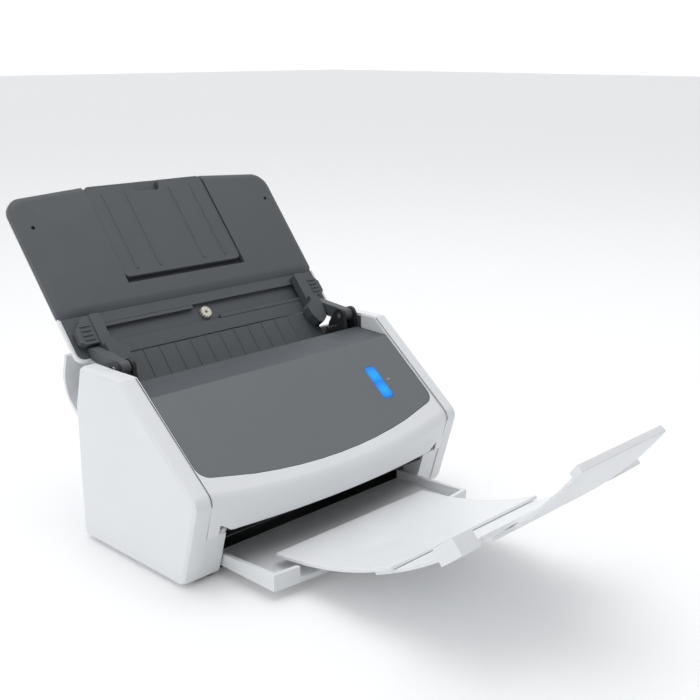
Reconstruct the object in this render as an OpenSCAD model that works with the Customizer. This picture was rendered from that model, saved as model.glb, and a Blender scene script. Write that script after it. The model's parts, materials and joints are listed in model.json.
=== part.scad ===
// Desktop sheet fed document scanner, in millimetres.
// +X is the right-hand side seen from the front, the front faces -Y and +Z is up.
// Lengths along Y are drawn from the rear lower edge of the housing, and placed() moves
// each part so that the origin lies on the table, midway between the four feet.

/* [Housing] */
// Width over the two side covers
body_w = 292; // [286:1:300]
// Height of the side covers
body_h = 147; // [146:0.5:148]
// Width of the face of one side cover
side_face = 14; // [13:0.5:15]
// Angle of the control panel above horizontal
slope_angle = 39.9; // [39.5:0.1:40.3]
// Wall thickness of the moulded covers
wall = 2.5; // [2:0.1:3]
// Height of the rubber feet
foot_h = 3; // [2.6:0.1:3]

/* [Chute cover] */
// Angle of the open paper chute above horizontal
chute_angle = 50.4; // [50:0.1:51]
// Half width of the cover's shell
cover_half = 141; // [138:1:143]
// Length of the cover along the paper
cover_top = 172; // [165:1:175]
// Travel of the pull-out paper support
extension_travel = 85; // [60:1:95]
// Half the width between the side guides
guide_gap = 107; // [100:1:109]

/* [Top section] */
// Half width of the control panel
panel_half = 129.6; // [127:0.2:130]
// Width of the scan button
button_w = 11.5; // [9:0.5:13]
// Length of the scan button
button_l = 33; // [28:1:36]
// Travel of the scan button
button_travel = 1.2; // [0.6:0.1:1.4]

/* [Rollers] */
// Radius of the pick rollers
pick_r = 11; // [10:0.5:11]
// Radius of the lower feed rollers
feed_r = 9; // [8:0.5:9]
// Radius of the roller shafts
shaft_r = 3; // [2.5:0.1:3]
// Radial clearance of a shaft in its bush
fit_gap = 0.05; // [0.02:0.01:0.1]
// Radius of the lower exit rollers
exit_r = 8; // [7.5:0.1:8]

/* [Stacker] */
// Radius of the curve that the output trays follow
stack_r = 300; // [298:1:302]
// Thickness of an output tray
tray_t = 2.6; // [2:0.1:2.6]
// Half width of the first tray
tray_half = 110; // [108:1:110]

/* [Hidden] */
$fn = 48;

half_w = body_w / 2;
seam_x = half_w - side_face;
side_gap = 0.5;
top_half = seam_x - side_gap;
rear_to_origin = 67;
eps = 0.01;

// Corners of the side covers, as [y, z] from the rear lower edge
crease = [-67.4, 144.3];
side_outline = [
  [0, 2], [0, 113], [-9, body_h], [-64, body_h], [-153.5, 73], [-133, 2]
];
side_rounds = [4, 16, 5, 5, 11, 10];

// Datum of the paper in the chute, and of the sheet path between the scan units
chute_at = [-14, 135];
path_at = [-92, 59.5];
path_angle = 26.2;

// Joint centres, as [y, z]
cover_axis = [-35, 146];
top_axis = [-142.5, 43];
pick_at = [-21.5, 108.7];
feed_at = [-45.4, 83.1];
exit_at = [-112.5, 40.5];
brake_at = [-38.7, 120.8];
upper_feed_at = [-59.3, 94.3];
upper_exit_at = [-119.4, 54.4];
motor_at = [-28, 45];
stack_at = [-150, 320];
release_at = [-37, 126];

// Rollers of the top section, a little short of touching the driven ones
nip_gap = 0.3;
brake_r = norm(brake_at - pick_at) - pick_r - nip_gap;
upper_feed_r = norm(upper_feed_at - feed_at) - feed_r - nip_gap;
upper_exit_r = norm(upper_exit_at - exit_at) - exit_r - nip_gap;

// Roller lengths along X
roller_bands = [[-82, -64], [-45, -27], [27, 45], [64, 82]];
pick_bands = [[-22, -6], [6, 22]];

// Unit vector from a to b
function toward(a, b) = (b - a) / norm(b - a);
// Points of the arc that rounds corner b, between a and c, to radius r
function corner_arc(a, b, c, r, steps) =
  let (u = toward(b, a), v = toward(b, c))
  let (half = acos(u * v) / 2)
  let (mid = b + (u + v) / norm(u + v) * r / sin(half))
  let (from = b + u * r / tan(half) - mid, to = b + v * r / tan(half) - mid)
  let (a0 = atan2(from[1], from[0]), a1 = atan2(to[1], to[0]))
  let (turn = a1 - a0 > 180 ? a1 - a0 - 360 : a1 - a0 < -180 ? a1 - a0 + 360 : a1 - a0)
  [for (i = [0:steps]) mid + r * [cos(a0 + turn * i / steps), sin(a0 + turn * i / steps)]];
// Outline with every corner rounded to its own radius
function rounded(pts, radii, steps = 6) =
  let (n = len(pts))
  [for (i = [0:n - 1])
    each corner_arc(pts[(i + n - 1) % n], pts[i], pts[(i + 1) % n], radii[i], steps)];
// Outline with every corner rounded to one radius
function rounded_all(pts, r, steps = 6) = rounded(pts, [for (p = pts) r], steps);
// Mirror an outline in the X axis of its plane, keeping its order
function mirror_x(pts) = [for (i = [len(pts) - 1:-1:0]) [-pts[i][0], pts[i][1]]];

// Colour a part and move it from the rear edge's frame to the object's frame
module placed(c) color(c) translate([0, rear_to_origin, 0]) children();
// Extrude a [y, z] outline from x0 to x1
module along_x(x0, x1) translate([x0, 0, 0]) rotate([90, 0, 90]) linear_extrude(x1 - x0) children();
// Round bar along X centred on a [y, z] point
module bar(at, r, x0, x1) translate([x0, at[0], at[1]]) rotate([0, 90, 0]) cylinder(r = r, h = x1 - x0);
// Frames whose Y runs up the slope, the chute or the sheet path, with Z out of the face
module on_slope() translate([0, crease[0], crease[1]]) rotate([slope_angle, 0, 0]) children();
module on_chute() translate([0, chute_at[0], chute_at[1]]) rotate([chute_angle, 0, 0]) children();
module on_path() translate([0, path_at[0], path_at[1]]) rotate([path_angle, 0, 0]) children();
module both_sides() {
  children();
  mirror([1, 0, 0]) children();
}
module block(x, y, z) translate([x[0], y[0], z[0]]) cube([x[1] - x[0], y[1] - y[0], z[1] - z[0]]);

// ---------- housing ----------
module side_profile(inset = 0) offset(delta = -inset) polygon(rounded(side_outline, side_rounds));
module side_cover() {
  difference() {
    hull() {
      along_x(seam_x, half_w - 4.5) side_profile();
      along_x(half_w - 2, half_w - 1.4) side_profile(1.1);
      along_x(half_w - 0.1, half_w) side_profile(4);
    }
    along_x(seam_x - 1, half_w - wall) side_profile(wall);
    // Room for the cover's hinge and the lower edge of the chute behind the panel
    block([seam_x - 1, seam_x + wall], [-64, -8], [112, body_h - wall]);
  }
}
module left_side_cover() placed("white") mirror([1, 0, 0]) side_cover();
module right_side_cover() placed("white") side_cover();

module base_plate() placed("gainsboro") difference() {
  union() {
    block([-seam_x + 0.3, seam_x - 0.3], [-128, -1], [foot_h, foot_h + 3]);
    block([-seam_x + 0.3, seam_x - 0.3], [-4.2, -1], [foot_h + 3, 22]);
  }
  for (x = [-100:20:100]) block([x - 6, x + 6], [-50, -30], [foot_h - 1, foot_h + 4]);
}

jack_x = -96;
usb_x = -60;
port_z = 34;
module rear_cover() placed("white") difference() {
  along_x(-seam_x + 0.3, seam_x - 0.3) polygon([
    [-1, 22.4], [-1, 113], [-5.5, 130], [-8, 129.4], [-3.6, 112.4], [-3.6, 22.4]
  ]);
  bar_y(jack_x, port_z, 6, -6, 1);
  block([usb_x - 6.5, usb_x + 6.5], [-6, 1], [port_z - 6, port_z + 6]);
  block([96, 103], [-6, 1], [port_z - 1.5, port_z + 1.5]);
  for (x = [-20:8:92]) block([x, x + 4], [-6, 1], [60, 82]);
}
module bar_y(x, z, r, y0, y1) translate([x, y0, z]) rotate([-90, 0, 0]) cylinder(r = r, h = y1 - y0);

hood_half = 134;
// Curved hood behind the body, over the lower edge of the open cover
module rear_hood() placed("white") {
  along_x(-hood_half, hood_half) polygon(concat(
    [[-1, 82]], corner_arc([2, 82], [39, 116], [30.5, 146], 30, 8), [[30.5, 146], [27.6, 145]],
    reversed(corner_arc([2, 86], [35.4, 117], [27.6, 145], 27, 8)), [[-1, 85.2]]
  ));
  for (x = [-99:33:99]) along_x(x - 1, x + 1)
    polygon([[-1, 84], [4, 86], [22, 102.5], [22, 109], [-1, 109]]);
}
function reversed(pts) = [for (i = [len(pts) - 1:-1:0]) pts[i]];

module corner_block() {
  difference() {
    along_x(112, seam_x - 0.3) polygon(rounded([
      [-118.9, foot_h + 3], [-118.9, 39.6], [-142.7, 39.6], [-132.2, foot_h + 0.2], [-128.2, foot_h + 0.2],
      [-128.2, foot_h + 3]
    ], [0.5, 0.5, 1.2, 4, 0.2, 0.2], 4));
    along_x(112 + wall, seam_x - 0.3 - wall) polygon([
      [-110, foot_h + 5], [-110, 37.1], [-138.2, 37.1], [-130.4, foot_h + 5]
    ]);
  }
  // Lug that carries the top section's hinge pin
  difference() {
    along_x(114.8, 118) polygon(concat(
      [[-137, 39.5], [-142, 39.5]], [for (a = [200:-20:20]) top_axis + 3 * [cos(a), sin(a)]]
    ));
    bar(top_axis, 2 + fit_gap, 110, 122);
  }
}
module left_corner_block() placed("white") mirror([1, 0, 0]) corner_block();
module right_corner_block() placed("white") corner_block();

frame_x = 126;
module frame_plate() difference() {
  along_x(frame_x, frame_x + 2) polygon(rounded_all([
    [-5, foot_h + 3.2], [-5, 108], [-14, 127], [-42, 127], [-50, 110], [-66, 66], [-117.6, 50],
    [-117.6, foot_h + 3.2]
  ], 2, 3));
  for (p = [pick_at, feed_at, exit_at]) bar(p, 5, frame_x - 1, frame_x + 3);
  bar(motor_at, 12, frame_x - 1, frame_x + 3);
}
module side_frames() placed("silver") both_sides() frame_plate();

module cross_beams() placed("silver") {
  for (p = [[-22, 62.5], [-88, 32.4]]) along_x(-frame_x, frame_x) translate(p) difference() {
    square([12, 8]);
    translate([1.5, -eps]) square([9, 6.5]);
  }
}

// Bearing of each shaft in the side frames
module shaft_bushes() placed("ivory") for (p = [pick_at, feed_at, exit_at], side = [0, 1])
  mirror([side, 0, 0]) difference() {
    union() {
      bar(p, 5, frame_x, frame_x + 2);
      bar(p, 6, frame_x - 1.5, frame_x);
    }
    bar(p, shaft_r + fit_gap, frame_x - 3, frame_x + 3);
  }

// ---------- sheet path ----------
// Lower side of the path, from the entry to the exit
path_low = [[-23, 122.4], [-54.5, 84.2], [-64, 73], [-84, 62.2], [-140, 34.6]];
module path_strip(pts, drop) polygon(concat(
  pts, [for (i = [len(pts) - 1:-1:0]) pts[i] + drop]
));
module roller_windows(bands, at, r) for (b = bands) bar(at, r, b[0] - 1, b[1] + 1);
module lower_sheet_guide() placed("dimgray") difference() {
  along_x(-111, 111) path_strip(path_low, [1.1, -1.9]);
  roller_windows(pick_bands, pick_at, pick_r + 1);
  roller_windows(roller_bands, feed_at, feed_r + 1);
  roller_windows(roller_bands, exit_at, exit_r + 1);
  on_path() block([-112.6, 112.6], [-9.4, 9.4], [-6, 2]);
}
module entry_guide() placed("dimgray") difference() {
  on_chute() union() {
    block([-111, 111], [-11, 16], [-5, -2.5]);
    for (x = [-96:16:96]) block([x - 0.6, x + 0.6], [-11, 16], [-2.5, -1.8]);
  }
  roller_windows(pick_bands, pick_at, pick_r + 1);
}
module lower_scan_unit() placed("black") on_path() {
  difference() {
    block([-112, 112], [-9, 9], [-16, -2.6]);
    block([-108, 108], [-6, 6], [-13, -2]);
  }
  block([-107, 107], [-5, -1], [-13, -6]);
}
module lower_scan_glass() placed("lightblue") on_path() block([-112, 112], [-9, 9], [-2.6, -1.2]);

// ---------- electronics and drive ----------
module main_board() placed("darkgreen") {
  block([-120, 40], [-8.5, -6.9], [24, 58]);
  block([-40, -24], [-11, -8.5], [36, 52]);
  block([-14, -4], [-10.5, -8.5], [30, 40]);
  block([6, 34], [-15, -8.5], [28, 36]);
}
module power_jack() placed("black") difference() {
  union() {
    block([jack_x - 7, jack_x + 7], [-6.8, -3.7], [port_z - 7, port_z + 7]);
    bar_y(jack_x, port_z, 5.9, -3.7, -0.6);
  }
  bar_y(jack_x, port_z, 3.2, -5.6, 1);
}
module usb_socket() placed("silver") {
  difference() {
    block([usb_x - 6, usb_x + 6], [-6.8, -0.6], [port_z - 5.5, port_z + 5.5]);
    block([usb_x - 4.5, usb_x + 4.5], [-5.6, 1], [port_z - 4, port_z + 4]);
  }
  block([usb_x - 2.8, usb_x + 2.8], [-5.7, -1.6], [port_z - 1.5, port_z + 1.5]);
}
belt_x = 133;
module drive_motor() placed("dimgray") {
  bar(motor_at, 17, -frame_x, -92);
  bar(motor_at, 8, -92, -86);
}
module motor_pulley() placed("ivory") {
  bar(motor_at, 2, -belt_x - 6, -frame_x);
  bar(motor_at, motor_pulley_r, -belt_x - 4, -belt_x);
}
pulley_r = 8;
motor_pulley_r = 6;
// The feed pulley reaches out to the straight run of the belt
feed_pulley_r = 12.4;
module pulley(at, r) {
  bar(at, r, -belt_x - 4, -belt_x);
  bar(at, r + 1.4, -belt_x - 5, -belt_x - 4);
}
// One toothless belt round the motor, pick, feed and exit pulleys
module drive_belt() placed("black") along_x(-belt_x - 4, -belt_x) difference() {
  belt_loop(1.5);
  belt_loop(0.4);
}
module belt_loop(grow) hull() {
  translate(motor_at) circle(motor_pulley_r + grow, $fn = 32);
  translate(pick_at) circle(pulley_r + grow, $fn = 32);
  translate(exit_at) circle(pulley_r + grow, $fn = 32);
}
module pick_shaft() placed("silver") {
  bar(pick_at, shaft_r, -belt_x - 5, frame_x + 4);
  pulley(pick_at, pulley_r);
}
module feed_shaft() placed("silver") {
  bar(feed_at, shaft_r, -belt_x - 5, frame_x + 4);
  pulley(feed_at, feed_pulley_r);
}
module exit_shaft() placed("silver") {
  bar(exit_at, shaft_r, -belt_x - 5, frame_x + 4);
  pulley(exit_at, pulley_r);
}
module tyres(at, r, bore_r, bands) for (b = bands) difference() {
  bar(at, r, b[0], b[1]);
  bar(at, bore_r, b[0] - 1, b[1] + 1);
}
module pick_rollers() placed("gray") tyres(pick_at, pick_r, shaft_r, pick_bands);
module lower_feed_rollers() placed("gray") tyres(feed_at, feed_r, shaft_r, roller_bands);
module lower_exit_rollers() placed("gray") tyres(exit_at, exit_r, shaft_r, roller_bands);

// ---------- chute hinge ----------
bracket_inner = [114, 117.5];
arm_x = [118, 127];
bracket_outer = [127.5, 131];
module bracket_plate(x) difference() {
  along_x(x[0], x[1]) polygon(concat(
    [[-20, 127], [-43, 127], [-43, 138]],
    [for (a = [200:-20:20]) cover_axis + 6.5 * [cos(a), sin(a)]], [[-22, 138]]
  ));
  bar(cover_axis, 2.5 + fit_gap, x[0] - 1, x[1] + 1);
}
module cover_brackets() placed("black") both_sides() {
  bracket_plate(bracket_inner);
  bracket_plate(bracket_outer);
  block([bracket_inner[0], bracket_outer[1]], [-43, -20], [127, 128.5]);
}
module cover_pins() placed("silver") both_sides()
  bar(cover_axis, 2.5, bracket_inner[0] + 0.5, bracket_outer[1] - 0.2);

// ---------- chute cover ----------
module cover_outline(inset = 0) offset(delta = -inset) polygon(cover_points());
function cover_side() = concat(
  corner_arc([0, 18], [139, 18], [cover_half, 150], 8, 5),
  corner_arc([139, 18], [cover_half, cover_top], [60, cover_top + 6], 16, 8)
);
function cover_points() = concat(
  cover_side(), [for (x = [90:-30:-90]) [x, cover_top + 8 - x * x / 1500]],
  mirror_x(cover_side())
);
shell_back = -13;
rim_front = -5.6;
lip_half = 119.6;
module cover_shell() placed("white") on_chute() difference() {
  hull() {
    translate([0, 0, -9]) linear_extrude(9 + rim_front) cover_outline();
    translate([0, 0, -11.6]) linear_extrude(0.5) cover_outline(1.6);
    translate([0, 0, shell_back]) linear_extrude(0.3) cover_outline(5);
  }
  translate([0, 0, shell_back + 2.2]) linear_extrude(20) cover_outline(2);
  block([-slot_half, slot_half], [165, 200], [-9.2, 2]);
  // The liner's slab and lower lip lie over the rim
  linear_extrude_at(-9.6, 12) slab_outline(-1);
  block([-lip_half - 0.4, lip_half + 0.4], [10, 26], [-9.6, 2]);
}
slot_half = 64;
slab_from = 57;
// Raised slab that fills the upper part of the cover
module slab_outline(inset) offset(6) offset(-6) intersection() {
  cover_outline(inset);
  translate([-200, slab_from + inset]) square([400, 200]);
}
module cover_liner() placed("dimgray") on_chute() {
  difference() {
    union() {
      translate([0, 0, shell_back + 2.3]) linear_extrude(5) cover_outline(2.3);
      hull() {
        linear_extrude_at(-9.3, 3.9) slab_outline(0.7);
        linear_extrude_at(-4, 1.5) slab_outline(7);
      }
      block([-lip_half, lip_half], [18.4, 26], [-9.3, -5.7]);
    }
    block([-slot_half, slot_half], [78, 200], [-9.2, 2]);
    for (x = [-126, 126]) translate([x, 142, -6]) cylinder(r = 1.8, h = 8);
    // Slot that the side guides' racks run in
    block([-116, 116], [30, 48], [-9.2, -5]);
  }
}
ext_half = slot_half - 0.6;
module chute_extension() placed("dimgray") on_chute() difference() {
  union() {
    linear_extrude_at(-8.8, 5.2) polygon(rounded_all([
      [-ext_half, 84], [ext_half, 84], [ext_half, 176], [-ext_half, 176]
    ], 5));
    for (x = [-48, -24, 24, 48]) block([x - 1, x + 1], [90, 168], [-3.6, -2.6]);
  }
  linear_extrude_at(-10, 12) polygon(rounded_all([[-14, 166], [14, 166], [14, 181], [-14, 181]], 4));
}
module linear_extrude_at(z, h) translate([0, 0, z]) linear_extrude(h) children();
// Arms from the hinge axis to the liner's lower corners
function to_chute(p) = let (q = p - chute_at)
  [q[0] * cos(chute_angle) + q[1] * sin(chute_angle), -q[0] * sin(chute_angle) + q[1] * cos(chute_angle)];
module cover_arms() placed("dimgray") both_sides() difference() {
  union() {
    bar(cover_axis, 5.5, arm_x[0] + 0.3, arm_x[1] - 0.3);
    on_chute() along_x(arm_x[0] + 0.3, arm_x[1] - 0.3) polygon(concat(
      [[19, -5.5], [27, -5.5], [27, -1]],
      [for (a = [60:20:180]) to_chute(cover_axis) + 5.4 * [cos(a), sin(a)]], [[4, 6]]
    ));
  }
  bar(cover_axis, 2.5, arm_x[0] - 1, arm_x[1] + 1);
}

// Side guide at the right; the left one is its mirror image, with its rack below
module side_guide(rack_from) {
  // Plate along the sheet's edge, with a foot that spreads over the sheet
  linear_extrude_at(-5, 8) polygon(rounded_all([
    [guide_gap, 22], [guide_gap + 10, 22], [guide_gap + 10, 54], [guide_gap, 54]
  ], 1.5, 3));
  linear_extrude_at(-1.4, 9.4) polygon(rounded_all([
    [guide_gap - 3, 0], [guide_gap + 2, -1], [guide_gap + 8, 3], [guide_gap + 10.4, 14],
    [guide_gap + 10, 26], [guide_gap, 28], [guide_gap, 23], [guide_gap - 8, 17], [guide_gap - 7, 8]
  ], 0.8, 3));
  // Finger grip
  linear_extrude_at(-5, 7) polygon(rounded_all([
    [guide_gap + 9, 29], [guide_gap + 22, 29], [guide_gap + 26, 32], [guide_gap + 26, 43],
    [guide_gap + 17, 53], [guide_gap + 9, 53]
  ], 1.5, 3));
  linear_extrude_at(2, 1) for (k = [33, 37, 41, 45])
    translate([guide_gap + 13, k - 0.6]) square([9, 1.2]);
  // Rack, joined to the plate by a short riser
  block([12, guide_gap + 6], [rack_from, rack_from + 3], [-8.6, -5.4]);
  block([guide_gap, guide_gap + 6], [rack_from, rack_from + 3], [-6, -4.5]);
}
rack_gap = 5.6;
pinion_s = 39;
module right_guide() placed("dimgray") on_chute() side_guide(pinion_s - rack_gap - 3);
module left_guide() placed("dimgray") on_chute() mirror([1, 0, 0]) side_guide(pinion_s + rack_gap);
module guide_pinion() placed("ivory") on_chute() translate([0, pinion_s, -8.9]) difference() {
  union() {
    cylinder(r = rack_gap - 1, h = 3);
    for (a = [0:30:330]) rotate(a) translate([0, -0.6, 0]) cube([rack_gap - 0.25, 1.2, 3]);
  }
  translate([0, 0, -1]) cylinder(r = 1.5, h = 5);
}

// ---------- top section ----------
bow_r = 770;
nose_front = 162.5;
// Upright drum, leaning back, that bows the front of the top section in plan
module bow(inset) translate([0, -nose_front + inset, 65]) rotate([13, 0, 0])
  translate([0, bow_r, -120]) cylinder(r = bow_r, h = 240, $fn = 240);
top_bottom = 40.6;
module top_solid(inset) intersection() {
  along_x(-top_half + inset, top_half - inset) polygon([
    [-100, top_bottom + inset], [-180, top_bottom + inset], [-180, 40 + 12], crease_at(130, inset),
    crease_at(-3.4, inset), [-48, body_h - 0.6 - inset], [-48, 134], [-100, 90]
  ]);
  bow(inset);
}
// Point on the slope, s below the crease line and inset under the face
function crease_at(s, inset) = crease
  + s * [-cos(slope_angle), -sin(slope_angle)] + inset * [sin(slope_angle), -cos(slope_angle)];

panel_arc_r = 478;
panel_low = 109;
function panel_edge(half, low, r) = let (n = 10, s_at = function (x) low - panel_arc_r
  + sqrt(panel_arc_r * panel_arc_r - x * x))
  concat(
    corner_arc([half, 0], [half, -s_at(half)], [half - 40, -s_at(half - 40)], r, 6),
    [for (i = [1:n - 1]) let (x = (half - 24) * (1 - 2 * i / n)) [x, -s_at(x)]],
    corner_arc([40 - half, -s_at(half - 40)], [-half, -s_at(half)], [-half, 0], r, 6)
  );
bevel_at = 17;
module panel_outline(grow = 0, rear = -bevel_at) polygon(concat(
  [[-panel_half - grow, rear], [panel_half + grow, rear]],
  panel_edge(panel_half + grow, panel_low + grow, 12)
));
// Volume taken out of the front cover for the panel and for the hollow behind its rear edge
module panel_room(grow) intersection() {
  along_x(-top_half - 1, top_half + 1) polygon([
    crease_at(130, 3.4), crease_at(130, -8), crease_at(0, -8), [-40, 160], [-40, 130.6],
    crease_at(bevel_at + 3, 3.4)
  ]);
  on_slope() linear_extrude_at(-40, 60) panel_outline(grow, 60);
}
module front_cover() placed("white") difference() {
  top_solid(0);
  top_solid(wall);
  panel_room(0.4);
  block([-120, 120], [-200, -100], [top_bottom - 1, top_bottom + wall + eps]);
  both_sides() block([110, 122], [-149, -134.4], [top_bottom - 1, 49]);
  block([-200, 200], [-99, 0], [0, 100]);
  both_sides() block([119, 140], [-124.3, -98], [0, 50.6]);
}
module button_hole(grow) linear_extrude_at(-20, 30) translate([84.5, -60]) offset(grow)
  polygon(rounded_all([
    [-button_w / 2, -button_l / 2], [button_w / 2, -button_l / 2], [button_w / 2, button_l / 2],
    [-button_w / 2, button_l / 2]
  ], 2.5));
module control_panel() placed("slategray") {
  difference() {
    intersection() {
      along_x(-panel_half - 1, panel_half + 1) polygon([
        crease_at(bevel_at, 0.4), [-44, 134.6], [-44, 131.2], crease_at(bevel_at + 1.5, 3),
        crease_at(120, 3), crease_at(120, 0.4)
      ]);
      on_slope() linear_extrude_at(-40, 60) panel_outline(0, 60);
    }
    on_slope() button_hole(0.4);
  }
  release_lugs();
}
module scan_button() placed("deepskyblue") on_slope() intersection() {
  button_hole(0);
  block([70, 100], [-90, -30], [-4.6, 0.2]);
}
// Frame inside the top section that carries the scan unit, rollers and panel
top_frame_x = 121.5;
module top_cheek() difference() {
  along_x(119.5, top_frame_x) polygon(rounded_all([
    [-33, 125.4], [-33, 117], [-50, 112], [-58, 84], [-108, 55], [-134, 44.4], [-138, 40.8],
    [-144.6, 41], [-144.9, 50], [-140, 70], [-72, 124], [-52, 126.9]
  ], 1.4, 3));
  bar(top_axis, 2.03, 118, 123);
  bar(brake_at, 2.03, 118, 123);
  bar(upper_feed_at, 2 + fit_gap, 118, 123);
  bar(upper_exit_at, 2 + fit_gap, 118, 123);
}
path_high = [[-30, 127], [-46, 107], [-61, 88.4], [-72, 75.2], [-90, 66], [-146, 41.6]];
module top_frame() placed("dimgray") {
  both_sides() top_cheek();
  difference() {
    along_x(-119.5, 119.5) path_strip(path_high, [-1.2, 1.8]);
    roller_windows([[-16, 16]], brake_at, brake_r + 1);
    roller_windows(roller_bands, upper_feed_at, upper_feed_r + 1);
    roller_windows(roller_bands, upper_exit_at, upper_exit_r + 1);
    on_path() block([-113, 113], [-9.4, 9.4], [-2, 8]);
    block([-120, 120], [-40, 0], [80, 140]);
    both_sides() bar(top_axis, 5, 112, 119.6);
    for (p = [upper_feed_at, upper_exit_at]) bar(p, 2.6, -119.6, 119.6);
  }
}
module upper_scan_unit() placed("black") on_path() difference() {
  block([-112, 112], [-9, 9], [2.6, 16]);
  block([-108, 108], [-6, 6], [2, 13]);
}
module upper_scan_glass() placed("lightblue") on_path() block([-112, 112], [-9, 9], [1.2, 2.6]);
module panel_board() placed("darkgreen") on_slope() {
  block([60, 110], [-82, -38], [-9, -7.6]);
  block([80, 89], [-64.5, -55.5], [-7.6, -6]);
}
module top_hinge_pins() placed("silver") both_sides() bar(top_axis, 2, 112.5, top_frame_x);
module brake_shaft() placed("silver") bar(brake_at, 2, -top_frame_x, top_frame_x);
module brake_roller() placed("gray") difference() {
  bar(brake_at, brake_r, -15, 15);
  bar(brake_at, 2 + fit_gap, -16, 16);
}
module idler(at, r) {
  bar(at, 2, -top_frame_x, top_frame_x);
  for (b = roller_bands) bar(at, r, b[0], b[1]);
}
module upper_feed_rollers() placed("gray") idler(upper_feed_at, upper_feed_r);
module upper_exit_rollers() placed("gray") idler(upper_exit_at, upper_exit_r);
// Tab at the right, behind the panel, that frees the top section
module release_tab() placed("black") {
  along_x(96, 108) polygon(rounded_all([
    [-38.8, 125], [-39.4, 139], [-37, 139], [-35.4, 125]
  ], 0.8, 3));
  bar(release_at, 1.2, 93.4, 110.6);
}
// Lugs under the panel that hold the tab's pin
module release_lugs() difference() {
  for (x = [93.4, 108.6]) along_x(x, x + 2) polygon([
    [-54, 132], [-46, 133.4], [-35.2, 127.2], [-35.2, 124.6], [-38.6, 124.2]
  ]);
  bar(release_at, 1.25, 92, 112);
}

// ---------- stacker ----------
// Curved plate between two angles about the stacker's centre
module stack_arc(x0, x1, r, t, a0, a1) translate([x0, stack_at[0], stack_at[1]])
  rotate([0, 90, 0]) rotate([0, 0, -a1]) rotate_extrude_wedge(r, t, x1 - x0, a1 - a0);
module rotate_extrude_wedge(r, t, w, sweep) rotate_extrude(angle = sweep, $fn = 360)
  translate([r, 0]) square([t, w]);
step_r = tray_t + 0.4;
module stacker_tray_1() placed("white") difference() {
  intersection() {
    along_x(-tray_half, tray_half) polygon([[-116, 8], [-116, 18], [-150, 18.6], [-210, 22], [-210, 8]]);
    translate([0, -200.5 + bow_r, 0]) cylinder(r = bow_r, h = 40, $fn = 240);
  }
  difference() {
    along_x(-tray_half + 3.6, tray_half - 3.6) polygon([[-110, 10.4], [-110, 30], [-210, 30], [-210, 10.4]]);
    difference() {
      block([-120, 120], [-220, -150], [0, 40]);
      translate([0, -196.9 + bow_r, 0]) cylinder(r = bow_r, h = 40, $fn = 240);
    }
  }
  block([-87, 87], [-215, -190], [12, 40]);
}
module stacker_tray_2() placed("white") {
  stack_arc(-84, 84, stack_r, tray_t, 3, 26);
}
module stacker_tray_3() placed("white") {
  stack_arc(-80, 80, stack_r + step_r, tray_t, 22, 42.3);
  both_sides() {
    stack_arc(79, 87, stack_r + step_r + 0.3, 2, 38.8, 41.8);
    stack_arc(85, 104, stack_r - 4, 12, 38.4, 42.2);
  }
}
module stacker_tray_4() placed("white") {
  stack_arc(-50, 50, stack_r + 2 * step_r, tray_t, 38, 55);
  stack_arc(-50, 50, stack_r + step_r, step_r + eps, 53.4, 55);
}

// ---------- feet and fasteners ----------
foot_x = 116;
// Four feet at the corners and one under the middle
module rubber_feet() placed("black")
  for (p = [[-foot_x, -14], [foot_x, -14], [-foot_x, -120], [foot_x, -120], [0, -rear_to_origin]])
    translate([p[0], p[1], 0]) cylinder(r = 7, h = foot_h);
module case_screws() placed("silver") {
  for (x = [-foot_x, foot_x], y = [-34, -100]) translate([x, y, foot_h - 1]) {
    cylinder(r = 3, h = 1);
  }
  for (x = [-110, 110]) bar_y(x, 100, 2.6, -1, 0);
}

base_plate();
left_side_cover();
right_side_cover();
rear_cover();
rear_hood();
left_corner_block();
right_corner_block();
side_frames();
cross_beams();
lower_sheet_guide();
entry_guide();
lower_scan_unit();
lower_scan_glass();
main_board();
power_jack();
usb_socket();
drive_motor();
motor_pulley();
drive_belt();
cover_brackets();
shaft_bushes();
rubber_feet();
case_screws();
pick_shaft();
pick_rollers();
feed_shaft();
lower_feed_rollers();
exit_shaft();
lower_exit_rollers();
front_cover();
control_panel();
top_frame();
upper_scan_unit();
upper_scan_glass();
panel_board();
top_hinge_pins();
brake_roller();
brake_shaft();
upper_feed_rollers();
upper_exit_rollers();
release_tab();
scan_button();
cover_shell();
cover_liner();
cover_arms();
cover_pins();
left_guide();
right_guide();
guide_pinion();
chute_extension();
stacker_tray_1();
stacker_tray_2();
stacker_tray_3();
stacker_tray_4();
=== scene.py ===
"""Looks of a desktop sheet fed document scanner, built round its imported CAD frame.

Everything is placed from the frame: the boxes of its nodes, and the places and axes of its joints.
Lengths in this file are metres, and MM turns a length in millimetres into metres.
"""

import json
import math

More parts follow.
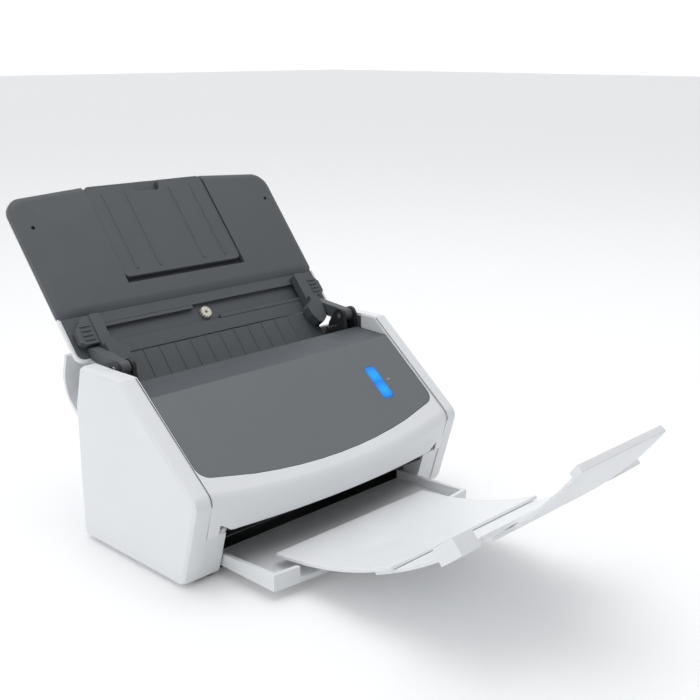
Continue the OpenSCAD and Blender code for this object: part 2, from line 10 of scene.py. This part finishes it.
import bmesh
import bpy
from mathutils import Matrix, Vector


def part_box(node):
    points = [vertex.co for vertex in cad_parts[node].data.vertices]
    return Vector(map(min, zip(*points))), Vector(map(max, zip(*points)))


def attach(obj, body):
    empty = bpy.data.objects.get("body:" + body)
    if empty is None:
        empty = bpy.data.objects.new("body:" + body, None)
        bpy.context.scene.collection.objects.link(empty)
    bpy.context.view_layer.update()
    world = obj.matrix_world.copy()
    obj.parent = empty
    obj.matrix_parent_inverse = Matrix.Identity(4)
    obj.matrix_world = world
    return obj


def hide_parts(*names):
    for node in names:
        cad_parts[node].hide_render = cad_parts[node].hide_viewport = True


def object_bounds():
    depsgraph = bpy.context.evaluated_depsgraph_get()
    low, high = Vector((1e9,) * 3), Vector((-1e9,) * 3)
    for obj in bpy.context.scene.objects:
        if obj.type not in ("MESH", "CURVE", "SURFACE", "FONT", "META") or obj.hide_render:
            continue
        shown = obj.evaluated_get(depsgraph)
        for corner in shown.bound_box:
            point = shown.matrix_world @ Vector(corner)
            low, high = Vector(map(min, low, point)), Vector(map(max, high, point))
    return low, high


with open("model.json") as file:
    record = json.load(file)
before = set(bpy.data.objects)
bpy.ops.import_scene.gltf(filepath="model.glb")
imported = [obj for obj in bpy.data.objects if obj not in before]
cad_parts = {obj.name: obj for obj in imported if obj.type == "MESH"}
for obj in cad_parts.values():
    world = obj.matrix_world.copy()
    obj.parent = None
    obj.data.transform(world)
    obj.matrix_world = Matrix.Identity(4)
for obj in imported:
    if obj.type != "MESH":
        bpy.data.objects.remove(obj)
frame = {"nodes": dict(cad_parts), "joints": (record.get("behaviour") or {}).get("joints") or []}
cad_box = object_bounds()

MM = 0.001
ACROSS = Vector((1, 0, 0))
WELD_MM = 0.005
FLAT = math.radians(0.4)
SHARP = math.radians(28)
MIX_FIRST, MIX_SECOND, MIX_RESULT = 6, 7, 2
nodes = frame["nodes"]
joints = {joint["name"]: joint for joint in frame["joints"]}


# ---------------------------------------------------------------- camera, floor and light
CAMERA_AT = Vector((-0.5712, -0.6532, 0.3846))
CAMERA_YAW = math.radians(-45.62)
CAMERA_TILT = math.radians(90 - 15.66)
CAMERA_LENS = 55.43


def make_camera():
    camera = bpy.data.objects.new("camera", bpy.data.cameras.new("camera"))
    camera.location = CAMERA_AT
    camera.rotation_euler = (CAMERA_TILT, 0, CAMERA_YAW)
    camera.data.lens = CAMERA_LENS
    camera.data.sensor_width = 36
    camera.data.clip_start = 0.02
    camera.data.clip_end = 60
    bpy.context.scene.collection.objects.link(camera)
    bpy.context.scene.camera = camera


def make_light(name, at, target, size, watts, colour=(1, 1, 1)):
    light = bpy.data.objects.new(name, bpy.data.lights.new(name, "AREA"))
    light.data.shape = "RECTANGLE"
    light.data.size, light.data.size_y = size
    light.data.energy = watts
    light.data.color = colour
    light.location = at
    light.rotation_euler = (Vector(target) - Vector(at)).to_track_quat("-Z", "Y").to_euler()
    bpy.context.scene.collection.objects.link(light)


def make_studio():
    scene = bpy.context.scene
    scene.view_settings.view_transform = "Standard"
    world = bpy.data.worlds.new("studio")
    world.use_nodes = True
    background = world.node_tree.nodes["Background"]
    background.inputs["Color"].default_value = (0.975, 0.985, 1.0, 1)
    # The room is brighter behind and above the scanner than in front of it
    room = world.node_tree
    place = room.nodes.new("ShaderNodeTexCoord")
    split = room.nodes.new("ShaderNodeSeparateXYZ")
    room.links.new(place.outputs["Generated"], split.inputs["Vector"])
    room.links.new(remap(room, split.outputs["Y"], 0.26, 1.1, -0.75, 0.45), background.inputs["Strength"])
    scene.world = world
    middle = (0, -0.06, 0.1)
    make_light("key", (0.1, -0.2, 2.0), middle, (1.6, 1.6), 13)
    make_light("side", (-2.0, 0.2, 1.0), middle, (1.2, 1.4), 1.9, (0.97, 0.98, 1))
    floor_mesh = bpy.data.meshes.new("floor")
    shape = bmesh.new()
    bmesh.ops.create_grid(shape, x_segments=8, y_segments=8, size=14)
    shape.to_mesh(floor_mesh)
    shape.free()
    floor = bpy.data.objects.new("floor", floor_mesh)
    floor.location.z = cad_box[0].z - 0.0001
    scene.collection.objects.link(floor)
    floor_mesh.materials.append(floor_material())


def floor_material():
    material, shader, tree = new_material("floor")
    grain = noise(tree, 900, 3)
    shader.inputs["Base Color"].default_value = (0.95, 0.955, 0.96, 1)
    shader.inputs["Emission Color"].default_value = (1, 1, 1, 1)
    shader.inputs["Emission Strength"].default_value = 0.07
    shader.inputs["Roughness"].default_value = 0.75
    tree.links.new(bump(tree, grain, 0.15, 0.2), shader.inputs["Normal"])
    return material


# ---------------------------------------------------------------- material nodes
def new_material(name):
    material = bpy.data.materials.new(name)
    material.use_nodes = True
    tree = material.node_tree
    return material, tree.nodes["Principled BSDF"], tree


def coordinates(tree, stretch=(1, 1, 1), turn=(0, 0, 0)):
    """Object coordinates in metres, so that grain keeps its real size on every piece."""
    place = tree.nodes.new("ShaderNodeTexCoord")
    mapping = tree.nodes.new("ShaderNodeMapping")
    mapping.inputs["Scale"].default_value = stretch
    mapping.inputs["Rotation"].default_value = turn
    tree.links.new(place.outputs["Object"], mapping.inputs["Vector"])
    return mapping.outputs["Vector"]


def noise(tree, per_metre, detail=2.0, stretch=(1, 1, 1), turn=(0, 0, 0)):
    node = tree.nodes.new("ShaderNodeTexNoise")
    node.inputs["Scale"].default_value = per_metre
    node.inputs["Detail"].default_value = detail
    tree.links.new(coordinates(tree, stretch, turn), node.inputs["Vector"])
    return node.outputs["Fac"]


def bump(tree, height, strength, depth_mm, normal=None):
    node = tree.nodes.new("ShaderNodeBump")
    node.inputs["Strength"].default_value = strength
    node.inputs["Distance"].default_value = depth_mm * MM
    tree.links.new(height, node.inputs["Height"])
    if normal is not None:
        tree.links.new(normal, node.inputs["Normal"])
    return node.outputs["Normal"]


def remap(tree, value, low, high, start=0.0, end=1.0):
    node = tree.nodes.new("ShaderNodeMapRange")
    node.inputs["From Min"].default_value = start
    node.inputs["From Max"].default_value = end
    node.inputs["To Min"].default_value = low
    node.inputs["To Max"].default_value = high
    tree.links.new(value, node.inputs["Value"])
    return node.outputs["Result"]


def blend_colours(tree, share, first, second):
    """Mix of two colours. Each is a tuple or the output of another node."""
    node = tree.nodes.new("ShaderNodeMix")
    node.data_type = "RGBA"
    tree.links.new(share, node.inputs["Factor"])
    for socket, colour in ((node.inputs[MIX_FIRST], first), (node.inputs[MIX_SECOND], second)):
        if isinstance(colour, tuple):
            socket.default_value = (*colour, 1)
        else:
            tree.links.new(colour, socket)
    return node.outputs[MIX_RESULT]


def edge_mask(tree, radius_mm):
    """1 on sharp edges, fading to 0 within radius_mm of them."""
    rounded = tree.nodes.new("ShaderNodeBevel")
    rounded.samples = 4
    rounded.inputs["Radius"].default_value = radius_mm * MM
    flat = tree.nodes.new("ShaderNodeNewGeometry")
    dot = tree.nodes.new("ShaderNodeVectorMath")
    dot.operation = "DOT_PRODUCT"
    tree.links.new(rounded.outputs["Normal"], dot.inputs[0])
    tree.links.new(flat.outputs["Normal"], dot.inputs[1])
    return remap(tree, dot.outputs["Value"], 1.0, 0.0, 0.8, 0.995)


def scaled(colour, factor):
    return tuple(min(1.0, part * factor) for part in colour)


def moulded(name, colour, roughness, grain_mm, grain_depth, worn=None, coat=0.0, uneven=0.03):
    """Moulded plastic: spark eroded grain, faint unevenness of colour and gloss, and worn edges."""
    material, shader, tree = new_material(name)
    cloud = noise(tree, 14, 3)
    body = blend_colours(tree, cloud, scaled(colour, 1 - uneven), scaled(colour, 1 + uneven))
    if worn:
        body = blend_colours(tree, edge_mask(tree, 0.5), body, worn)
    tree.links.new(body, shader.inputs["Base Color"])
    handled = noise(tree, 55, 4)
    gloss = remap(tree, handled, roughness - 0.06, roughness + 0.06, 0.3, 0.7)
    tree.links.new(gloss, shader.inputs["Roughness"])
    grain = noise(tree, 1 / (grain_mm * MM), 2)
    ripple = noise(tree, 40, 1)
    soft = bump(tree, ripple, 0.15, 0.1)
    tree.links.new(bump(tree, grain, 0.5, grain_depth, soft), shader.inputs["Normal"])
    shader.inputs["Coat Weight"].default_value = coat
    shader.inputs["Coat Roughness"].default_value = 0.25
    return material


def metal(name, colour, roughness, stretch, scratch_depth=0.01):
    """Metal with the lines that drawing, turning or rolling leaves along one direction."""
    material, shader, tree = new_material(name)
    lines = noise(tree, 1500, 3, stretch)
    stain = noise(tree, 60, 4)
    tree.links.new(
        blend_colours(tree, stain, scaled(colour, 0.9), scaled(colour, 1.06)), shader.inputs["Base Color"]
    )
    tree.links.new(remap(tree, lines, roughness - 0.1, roughness + 0.12), shader.inputs["Roughness"])
    tree.links.new(bump(tree, lines, 0.3, scratch_depth), shader.inputs["Normal"])
    shader.inputs["Metallic"].default_value = 1.0
    return material


def rubber(name, colour, roughness):
    material, shader, tree = new_material(name)
    dust = noise(tree, 220, 5)
    tree.links.new(
        blend_colours(tree, remap(tree, dust, 0, 1, 0.45, 0.75), colour, scaled(colour, 1.5)),
        shader.inputs["Base Color"],
    )
    tree.links.new(remap(tree, dust, roughness - 0.05, roughness + 0.1), shader.inputs["Roughness"])
    tree.links.new(bump(tree, noise(tree, 3500, 2), 0.5, 0.03), shader.inputs["Normal"])
    shader.inputs["Sheen Weight"].default_value = 0.15
    return material


def glass(name):
    material, shader, tree = new_material(name)
    shader.inputs["Base Color"].default_value = (0.72, 0.85, 0.83, 1)
    shader.inputs["Transmission Weight"].default_value = 0.85
    shader.inputs["IOR"].default_value = 1.5
    tree.links.new(remap(tree, noise(tree, 120, 4), 0.02, 0.08), shader.inputs["Roughness"])
    return material


def board_resist(name):
    """Green solder resist over copper tracks."""
    material, shader, tree = new_material(name)
    tracks = tree.nodes.new("ShaderNodeTexBrick")
    tracks.inputs["Scale"].default_value = 1.0
    tracks.inputs["Brick Width"].default_value = 7 * MM
    tracks.inputs["Row Height"].default_value = 1.3 * MM
    tracks.inputs["Mortar Size"].default_value = 0.25 * MM
    tracks.inputs["Color1"].default_value = (0.02, 0.13, 0.05, 1)
    tracks.inputs["Color2"].default_value = (0.025, 0.16, 0.06, 1)
    tracks.inputs["Mortar"].default_value = (0.06, 0.3, 0.11, 1)
    tree.links.new(coordinates(tree, turn=(math.radians(90), 0, 0)), tracks.inputs["Vector"])
    tree.links.new(tracks.outputs["Color"], shader.inputs["Base Color"])
    tree.links.new(remap(tree, noise(tree, 300, 3), 0.25, 0.4), shader.inputs["Roughness"])
    tree.links.new(bump(tree, tracks.outputs["Fac"], 0.4, 0.05), shader.inputs["Normal"])
    return material


def lit_button(name, spots, reach_mm):
    """Translucent blue cap, lit from below by lamps at the given points."""
    material, shader, tree = new_material(name)
    place = coordinates(tree)
    glow = None
    for spot in spots:
        gap = tree.nodes.new("ShaderNodeVectorMath")
        gap.operation = "DISTANCE"
        gap.inputs[1].default_value = spot
        tree.links.new(place, gap.inputs[0])
        near = remap(tree, gap.outputs["Value"], 1.0, 0.0, 0.0, reach_mm * MM)
        if glow is None:
            glow = near
        else:
            higher = tree.nodes.new("ShaderNodeMath")
            higher.operation = "MAXIMUM"
            tree.links.new(glow, higher.inputs[0])
            tree.links.new(near, higher.inputs[1])
            glow = higher.outputs["Value"]
    tint = blend_colours(tree, glow, (0.0, 0.13, 0.72), (0.0, 0.52, 1.0))
    tree.links.new(tint, shader.inputs["Emission Color"])
    shader.inputs["Emission Strength"].default_value = 0.85
    shader.inputs["Base Color"].default_value = (0.0, 0.05, 0.25, 1)
    tree.links.new(remap(tree, noise(tree, 400, 2), 0.22, 0.34), shader.inputs["Roughness"])
    return material


def front_panel(name, colour, behind):
    """Grained plastic with painted shade: the narrow strip behind the crease, which turns away from the
    slope, is multiplied darker than the slope.
    """
    material = moulded(name, colour, 0.5, 0.3, 0.03)
    tree = material.node_tree
    shader = tree.nodes["Principled BSDF"]
    facing = tree.nodes.new("ShaderNodeVectorMath")
    facing.operation = "DOT_PRODUCT"
    facing.inputs[1].default_value = SLOPE_OUT
    surface = tree.nodes.new("ShaderNodeNewGeometry")
    tree.links.new(surface.outputs["Normal"], facing.inputs[0])
    on_slope = remap(tree, facing.outputs["Value"], 0.0, 1.0, 0.93, 0.995)
    grained = shader.inputs["Base Color"].links[0].from_socket
    # Painted shade: the grained colour is multiplied by the behind colour wherever the surface turns away
    # from the slope
    painted_shade = tree.nodes.new("ShaderNodeMix")
    painted_shade.data_type = "RGBA"
    painted_shade.blend_type = "MULTIPLY"
    painted_shade.inputs[0].default_value = 1.0
    tree.links.new(grained, painted_shade.inputs[MIX_FIRST])
    tree.links.new(blend_colours(tree, on_slope, behind, (1.0, 1.0, 1.0)), painted_shade.inputs[MIX_SECOND])
    tree.links.new(painted_shade.outputs[MIX_RESULT], shader.inputs["Base Color"])
    return material


# The slope's frame, from the way the button is pressed, and the button's middle
SLOPE_OUT = -Vector(joints["scan_press"]["axis"])
SLOPE_UP = SLOPE_OUT.cross(ACROSS).normalized()
button_low, button_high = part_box("scan_button")
button_middle = (button_low + button_high) / 2

WHITE = (0.83, 0.845, 0.86)
GREY = (0.150, 0.166, 0.178)
LINER = (0.088, 0.098, 0.107)
BLACK = (0.02, 0.021, 0.023)
materials = {
    "white_shell": moulded("white_shell", WHITE, 0.42, 0.35, 0.02, (0.9, 0.9, 0.9)),
    # grey_panel carries painted shade: its colour times (0.5, 0.53, 0.56) on the strip behind the crease
    "grey_panel": front_panel("grey_panel", GREY, (0.5, 0.53, 0.56)),
    "dark_liner": moulded("dark_liner", LINER, 0.52, 0.4, 0.04, scaled(LINER, 1.5)),
    "black_plastic": moulded("black_plastic", BLACK, 0.48, 0.4, 0.04, scaled(BLACK, 2.2)),
    "sheet_metal": metal("sheet_metal", (0.62, 0.63, 0.64), 0.36, (0.05, 1, 1)),
    "shaft_steel": metal("shaft_steel", (0.72, 0.72, 0.73), 0.24, (1, 0.08, 0.08)),
    "roller_rubber": rubber("roller_rubber", (0.11, 0.11, 0.115), 0.7),
    "foot_rubber": rubber("foot_rubber", (0.025, 0.025, 0.027), 0.8),
    "natural_nylon": moulded("natural_nylon", (0.78, 0.74, 0.64), 0.4, 0.6, 0.02, (0.85, 0.82, 0.74)),
    "scan_glass": glass("scan_glass"),
    "circuit_board": board_resist("circuit_board"),
    "button_blue": lit_button(
        "button_blue", [button_middle + SLOPE_UP * reach * MM for reach in (-8.5, 7.5)], 11
    ),
}


# ---------------------------------------------------------------- CAD nodes
def shading_group():
    """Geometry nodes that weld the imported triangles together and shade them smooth."""
    group = bpy.data.node_groups.new("welded_smooth", "GeometryNodeTree")
    group.interface.new_socket("Geometry", in_out="INPUT", socket_type="NodeSocketGeometry")
    group.interface.new_socket("Geometry", in_out="OUTPUT", socket_type="NodeSocketGeometry")
    source = group.nodes.new("NodeGroupInput")
    weld = group.nodes.new("GeometryNodeMergeByDistance")
    weld.inputs["Distance"].default_value = WELD_MM * MM
    smooth = group.nodes.new("GeometryNodeSetShadeSmooth")
    result = group.nodes.new("NodeGroupOutput")
    group.links.new(source.outputs[0], weld.inputs[0])
    group.links.new(weld.outputs[0], smooth.inputs[0])
    group.links.new(smooth.outputs[0], result.inputs[0])
    return group


def soften(obj, bevel_mm, group):
    """Rounds the sharp edges of a piece and evens its shading."""
    obj.modifiers.new("welded", "NODES").node_group = group
    flat = obj.modifiers.new("flat", "DECIMATE")
    flat.decimate_type = "DISSOLVE"
    flat.angle_limit = FLAT
    rounding = obj.modifiers.new("rounding", "BEVEL")
    rounding.width = bevel_mm * MM
    rounding.segments = 2
    rounding.angle_limit = SHARP
    rounding.use_clamp_overlap = True
    rounding.harden_normals = False
    normals = obj.modifiers.new("normals", "WEIGHTED_NORMAL")
    normals.keep_sharp = True


welded_smooth = shading_group()
BEVELS_MM = {
    "base_plate": 0.6, "rear_cover": 0.4, "rear_hood": 0.8, "cover_shell": 0.8, "cover_liner": 0.5,
    "front_cover": 0.7, "control_panel": 0.5, "left_side_cover": 0.6, "right_side_cover": 0.6,
    "left_corner_block": 0.5, "right_corner_block": 0.5, "chute_extension": 0.5, "left_guide": 0.4,
    "right_guide": 0.4, "cover_arms": 0.5, "stacker_tray_1": 0.5, "stacker_tray_2": 0.5,
    "stacker_tray_3": 0.5, "stacker_tray_4": 0.5, "scan_button": 0.5, "cover_brackets": 0.3,
}
USUAL_BEVEL_MM = 0.2
for name, obj in nodes.items():
    soften(obj, BEVELS_MM.get(name, USUAL_BEVEL_MM), welded_smooth)
    for part in obj.material_slots:
        part.material = materials[part.material.name.split(".")[0]]


# ---------------------------------------------------------------- front cover with its rounded nose
def new_piece(name, shape, material, body):
    """Turns a bmesh into a piece that rides on a CAD body."""
    mesh = bpy.data.meshes.new(name)
    shape.to_mesh(mesh)
    shape.free()
    for face in mesh.polygons:
        face.use_smooth = True
    mesh.materials.append(material)
    piece = bpy.data.objects.new(name, mesh)
    bpy.context.scene.collection.objects.link(piece)
    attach(piece, body)
    return piece


NOSE_MM = 7.0
NOSE_REACH_MM = 30
EDGE_MM = 0.6


def front_cover():
    """The CAD front cover, with a large rounding along its nose and a small one on other edges."""
    front_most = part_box("front_cover")[0].y
    shape = bmesh.new()
    shape.from_mesh(nodes["front_cover"].data)
    bmesh.ops.remove_doubles(shape, verts=shape.verts, dist=WELD_MM * MM)
    bmesh.ops.dissolve_limit(shape, angle_limit=FLAT, verts=shape.verts, edges=shape.edges)
    weight = shape.edges.layers.float.new("bevel_weight_edge")
    for edge in shape.edges:
        if len(edge.link_faces) != 2 or edge.calc_face_angle() < SHARP:
            continue
        middle = (edge.verts[0].co + edge.verts[1].co) / 2
        along = (edge.verts[1].co - edge.verts[0].co).normalized()
        faces = [face.normal for face in edge.link_faces]
        # The nose joins a face that looks up the slope to one that looks forwards
        up = max(normal.z for normal in faces)
        forward = min(normal.y for normal in faces)
        lowest = min(normal.z for normal in faces)
        nose = abs(along.x) > 0.9 and up > 0.6 and forward < -0.9 and lowest < 0
        nose = nose and edge.is_convex and middle.y < front_most + NOSE_REACH_MM * MM
        edge[weight] = 1.0 if nose else EDGE_MM / NOSE_MM
    piece = new_piece("front_shell", shape, materials["white_shell"], "top_section")
    rounding = piece.modifiers.new("rounding", "BEVEL")
    rounding.width = NOSE_MM * MM
    rounding.segments = 7
    rounding.limit_method = "WEIGHT"
    rounding.use_clamp_overlap = False
    normals = piece.modifiers.new("normals", "WEIGHTED_NORMAL")
    normals.keep_sharp = True
    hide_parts("front_cover")


NEAR_BUTTON_MM = 60
MARK_AWAY_MM = 12
MARK_PROUD_MM = 0.02
MARK_THICK_MM = 0.05


def button_mark():
    """Small plain mark beside the button: a dot and a short bar."""
    ink, shader, tree = new_material("mark_ink")
    worn = noise(tree, 2500, 3)
    ink_colour = blend_colours(tree, worn, (0.5, 0.52, 0.54), (0.7, 0.72, 0.74))
    tree.links.new(ink_colour, shader.inputs["Base Color"])
    shader.inputs["Roughness"].default_value = 0.5
    shape = bmesh.new()
    around = [v.co - button_middle for v in nodes["control_panel"].data.vertices]
    face_out = max(gap.dot(SLOPE_OUT) for gap in around if gap.length < NEAR_BUTTON_MM * MM)
    centre = button_middle + SLOPE_OUT * (face_out + MARK_PROUD_MM * MM) + ACROSS * MARK_AWAY_MM * MM
    for start, end, half in ((-1.4, -0.5, 0.45), (0.2, 2.6, 0.3)):
        corners = [
            centre + ACROSS * x * MM + SLOPE_UP * y * MM
            for x, y in ((start, -half), (end, -half), (end, half), (start, half))
        ]
        low_ring = [shape.verts.new(corner - SLOPE_OUT * MARK_THICK_MM * MM) for corner in corners]
        high_ring = [shape.verts.new(corner) for corner in corners]
        shape.faces.new(high_ring)
        shape.faces.new(low_ring[::-1])
        for i in range(4):
            shape.faces.new((low_ring[i], low_ring[(i + 1) % 4], high_ring[(i + 1) % 4], high_ring[i]))
    piece = new_piece("button_mark", shape, ink, "top_section")
    rounding = piece.modifiers.new("rounding", "BEVEL")
    rounding.width = 0.02 * MM


SEAM_DEPTH_MM = 0.55
SEAM_SPAN_MM = (0.02, 0.6)


def seam_shadows():
    """Dark ribbons of painted shadow that floor the seams between the top section and the side covers."""
    cover_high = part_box("front_cover")[1]
    for side, node in ((-1, "left_side_cover"), (1, "right_side_cover")):
        crest = front_chain(nodes[node].data)
        shape = bmesh.new()
        rows = []
        for i, (y, z) in enumerate(crest):
            before, after = crest[max(i - 1, 0)], crest[min(i + 1, len(crest) - 1)]
            run = Vector((0, after[0] - before[0], after[1] - before[1])).normalized()
            inward = run.cross(ACROSS) * SEAM_DEPTH_MM * MM
            rows.append([
                shape.verts.new(Vector((side * (cover_high.x + across * MM), y, z)) + inward)
                for across in SEAM_SPAN_MM
            ])
        for (a, b), (c, d) in zip(rows, rows[1:]):
            shape.faces.new((a, b, d, c) if side > 0 else (b, a, c, d))
        name = f"seam_shadow_{'left' if side < 0 else 'right'}"
        new_piece(name, shape, materials["black_plastic"], "base")


def front_chain(data):
    """Side outline of a cover as (y, z) points, from the crease down the slope and round the nose."""
    points = sorted({(round(v.co.y, 6), round(v.co.z, 6)) for v in data.vertices})
    chain = []
    for point in points:
        while len(chain) > 1 and turn(chain[-2], chain[-1], point) >= 0:
            chain.pop()
        chain.append(point)
    # Points on the slope are equally far out, so a small share of their height picks the crease
    outward = [y * SLOPE_OUT.y + z * SLOPE_OUT.z + 0.01 * z for y, z in chain]
    crease = outward.index(max(outward))
    floor_of_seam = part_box("left_corner_block")[1].z
    return [p for p in chain[crease::-1] if p[1] > floor_of_seam]


def turn(a, b, c):
    return (b[0] - a[0]) * (c[1] - a[1]) - (b[1] - a[1]) * (c[0] - a[0])


front_cover()
button_mark()
seam_shadows()

make_camera()
make_studio()
